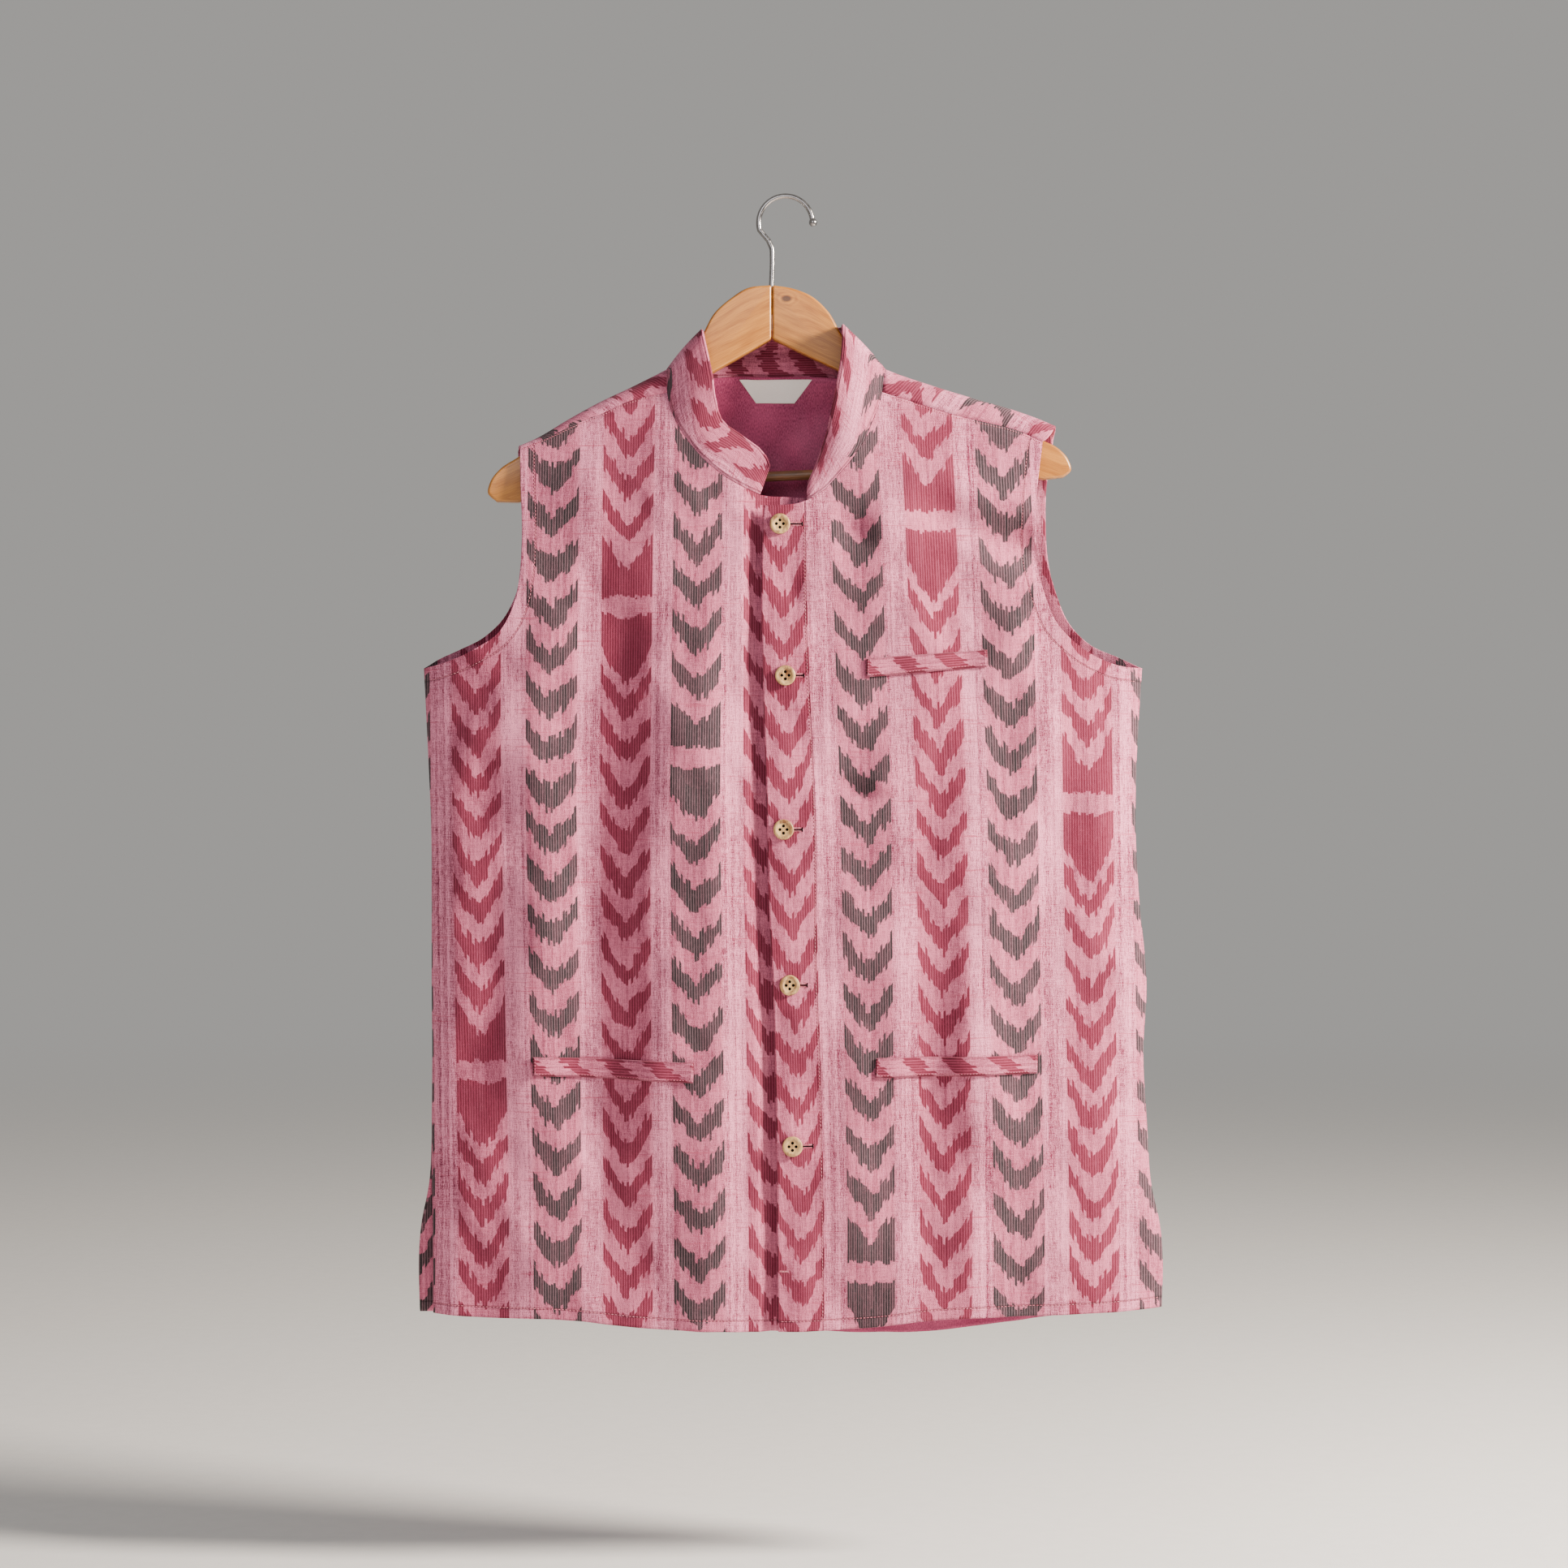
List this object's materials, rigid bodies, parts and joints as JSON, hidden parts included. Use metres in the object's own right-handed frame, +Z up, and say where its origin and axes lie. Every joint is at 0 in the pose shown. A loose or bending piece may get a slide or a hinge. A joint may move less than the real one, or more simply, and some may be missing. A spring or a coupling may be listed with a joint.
{
  "type": "nehru jacket on a wooden hanger",
  "caption": "Sleeveless stand-collar jacket in handwoven ikat cloth, buttoned down the front, with welt pockets and side vents, hung on a wooden hanger with a wire hook",
  "frame": {"origin": "the inner top of the hanger's hook, where a rail or a peg carries it", "axes": "+X towards the wearer's left, +Y towards the back, +Z up"},
  "size_m": [0.5693, 0.0688, 0.8746],
  "materials": {
    "cloth": "matte",
    "lining": "satin",
    "label": "satin",
    "shell": "satin",
    "wood": "satin",
    "chrome": "polished"
  },
  "bodies": {
    "root": {"front_right": "cloth", "front_left": "cloth", "back": "cloth", "collar": "cloth", "back_lining": "lining", "neck_label": "label", "chest_welt": "cloth", "hip_welt_left": "cloth", "hip_welt_right": "cloth", "button_1": "shell", "button_2": "shell", "button_3": "shell", "button_4": "shell", "button_5": "shell", "hanger_arm_right": "wood", "hanger_arm_left": "wood", "hanger_bar": "wood", "hanger_hook": "chrome"}
  },
  "joints": []
}
